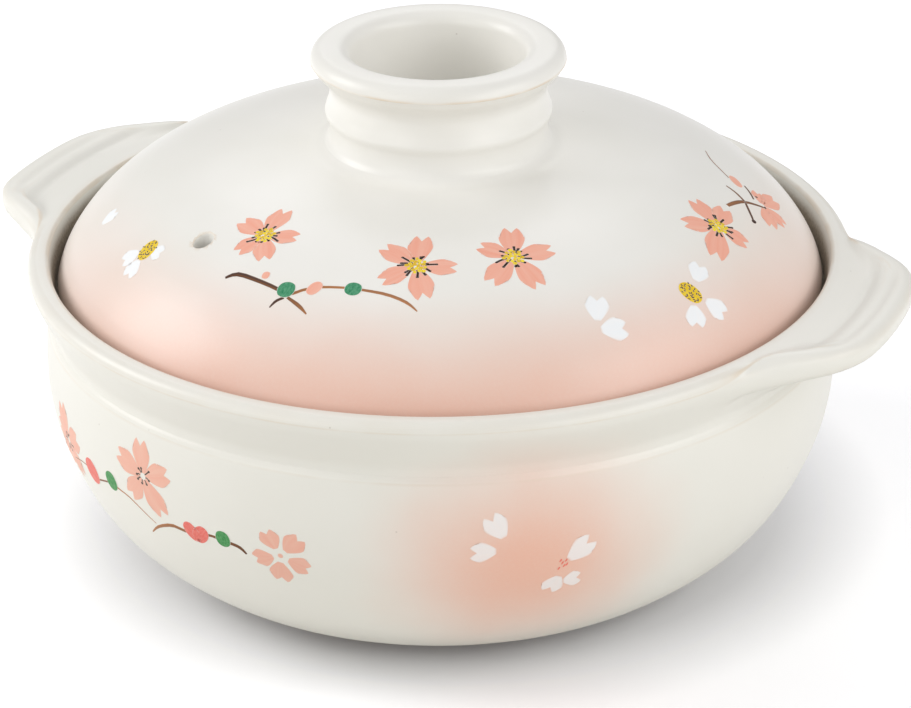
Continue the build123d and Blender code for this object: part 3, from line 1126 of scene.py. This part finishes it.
buds = [blob((-2.0, -0.8), 4.0, 5.6, -27, soft=0.3), blob((-18.4, 1.6), 2.6, 3.0, soft=0.5)]
paint("lid_pink_blossoms", buds, twig_place, 0.09)
paint("lid_pink_blossoms", [blob((11.2, 4.5), 3.6, 6.6, -50, soft=0.3)], branch_place, 0.09)
print("twig strokes", len(lid_twigs) + len(lid_branches))

# %% [markdown]
# ## Blossom on the bowl
# The same hand painted a hanging spray on the left of the bowl: three flowers on a curving twig with
# red and green buds. They are plainer than those of the lid, and the third shows no stamens.

# %% Paint the hanging spray
# Each flower is its place, its petals, where they start, how full they are, and its stamens.
bowl_blossoms = (
    ((56.1, -130.3), ((109, 11.8), (24, 10.8), (-55, 11.5), (-120, 9.8), (172, 9.5)), 1.0, 1.3, 6),
    ((64.9, -107.8), ((94, 11.4), (162, 12.1), (22, 11.5), (-130, 11.4), (-60, 12.9)), 1.0, 1.1, 8),
    ((52.2, -85.2), ((117, 8.9), (50, 10.1), (-158, 9.2), (-95, 10.4), (-24, 9.2)), 2.6, 1.15, 0),
)
for place, petals, start, fullness, count in bowl_blossoms:
    marks = [petal(heading, length, start, fullness) for heading, length in petals]
    paint("bowl_pink_blossoms", marks, place, 0.05)
    if count:
        paint("bowl_brown_stamens", stamens(count, 2.4, 4.0, 0.5), place, 0.09)
paint("bowl_pink_blossoms", [blob((0, 0), 1.8, 1.8, soft=0.6)], bowl_blossoms[2][0], 0.05)
left_twig_place = (55.4, -115.9)
right_twig_place = (51.3, -98.7)
left_twigs = (
    ([(-27.8, -4.6), (-19.0, -1.8), (-12.0, -1.8)], (0.4, 0.5, 0.7), (0.7, 0.5)),
    ([(-9.0, -3.0), (-4.0, -1.2), (0.0, 0.0)], (0.7, 0.7, 0.8), (0.4, 0.4)),
    ([(0.5, 0.0), (3.9, -0.5), (9.8, -1.6), (19.4, -6.8)], (0.9, 0.7, 0.6, 0.4), (0.7, 0.9)),
)
rising_twig = [(-20.5, -7.8), (-16.3, -3.5), (-10.0, -0.1), (-5.1, 0.0), (0.0, 0.0)]
ending_twig = [(2.0, 1.2), (6.0, 1.8), (12.5, 1.0), (15.5, 0.2), (17.3, -1.8)]
right_twigs = (
    (rising_twig, (0.4, 1.1, 1.5, 1.3, 1.1), (0.8, 0.45)),
    (ending_twig, (1.0, 1.1, 1.4, 1.5, 0.8), (0.35, 0.05)),
)
paint("bowl_brown_twigs", [stroke(*numbers) for numbers in left_twigs], left_twig_place, 0.06)
paint("bowl_brown_twigs", [stroke(*numbers) for numbers in right_twigs], right_twig_place, 0.06)
paint("bowl_green_buds", [blob((0, 0.8), 6.0, 6.8, 20)], left_twig_place, 0.11)
paint("bowl_green_buds", [blob((9.9, 1.9), 5.2, 6.0)], right_twig_place, 0.11)
paint("bowl_red_buds", [blob((-12.6, -1.6), 8.0, 9.2, 35)], left_twig_place, 0.1)
heart = [blob((-1.6, 0.8), 5.4, 7.6, 38), blob((1.6, 0.8), 5.4, 7.6, -38)]
paint("bowl_red_buds", heart, right_twig_place, 0.1)
print("flowers on the bowl", len(bowl_blossoms))

# %% [markdown]
# White petals blow across the pink cloud on the right, round a few red dabs. Thin white enamel lets
# some of the pink through.

# %% Scatter petals on the cloud
# Each petal is its place, its heading and its length.
patch_petals = (
    ((66.4, -55.5), 118, 8.6),
    ((58.4, -57.3), 178, 7.6),
    ((55.1, -43.9), 38, 9.4),
    ((44.4, -44.7), 8, 5.4),
    ((43.6, -47.3), 243, 6.8),
)
for place, heading, length in patch_petals:
    paint("bowl_white_petals", [loose_petal(0, 0, heading, length, 0.26)], place, 0.05)
dab_places = ((-1.2, -1.6), (-0.3, 0.4), (0.8, 1.2), (0.3, -0.8), (-0.9, 1.4), (1.1, -0.4))
dabs = [stroke([(x, y), (x + 0.6, y + 1.1)], (0.3, 0.6, 0.3)) for x, y in dab_places]
paint("bowl_red_buds", dabs, (50.5, -46.4), 0.09)
print("petals on the cloud", len(patch_petals))

# %% [markdown]
# ## Firing
# The marks of one colour are joined to one piece, get their enamel, and ride with the lid or with the
# pot. Berries and buds are dabbed, so their streaks are mottled, and the bowl's petals are thin
# enough to show the glaze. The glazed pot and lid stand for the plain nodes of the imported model.

# %% Give the groups their enamel and set every piece on its body
# Each colour is its material, its two tones and the slot that it shares.
enamels = {
    "pink_blossoms": ("gold_pink_enamel", "#F3B8A2", "#EEA28C", "blossom_enamel"),
    "white_petals": ("tin_white_enamel", "#F8F9FA", "#F1F4F7", "petal_enamel"),
    "yellow_pollen": ("antimony_yellow_enamel", "#F7DC2E", "#DDB41C", "twig_enamel"),
    "dark_stamens": ("iron_black_enamel", "#3E1400", "#240A00", "twig_enamel"),
    "brown_stamens": ("iron_grey_enamel", "#5C463C", "#43332C", "twig_enamel"),
    "brown_twigs": ("iron_brown_enamel", "#3E1C0C", "#C48350", "twig_enamel"),
    "green_berries": ("copper_green_enamel", "#4FA67C", "#1F6E48", "twig_enamel"),
    "green_buds": ("copper_green_enamel", "#5BAA66", "#2C7A40", "twig_enamel"),
    "red_buds": ("gold_red_enamel", "#F08A80", "#E4645A", "blossom_enamel"),
}
mottled_colours = ("green_berries", "green_buds", "red_buds")
mottled = (5.0, 5.0, 1.0)
thin_covers = {"bowl_white_petals": 0.78, "bowl_pink_blossoms": 0.86}
mark_crease = radians(50)
for group, marks in groups.items():
    body, colour = group.split("_", 1)
    enamel, first, second, slot = enamels[colour]
    piece = join_marks(marks)
    piece.name = piece.data.name = group
    bpy.ops.object.shade_smooth_by_angle(angle=mark_crease)
    on_lid = body == "lid"
    finish = {"streak": mottled} if colour in mottled_colours else {}
    finish["cover"] = thin_covers.get(group, 1.0)
    piece.data.materials.append(make_enamel(enamel + "_on_" + body, on_lid, first, second, **finish))
    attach(piece, "lid" if on_lid else "pot")
    print(group, len(piece.data.polygons), "faces")

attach(pot, "pot")
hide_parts("pot_bowl", "left_handle", "right_handle")
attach(lid, "lid")
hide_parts("lid_dome", "lid_knob")
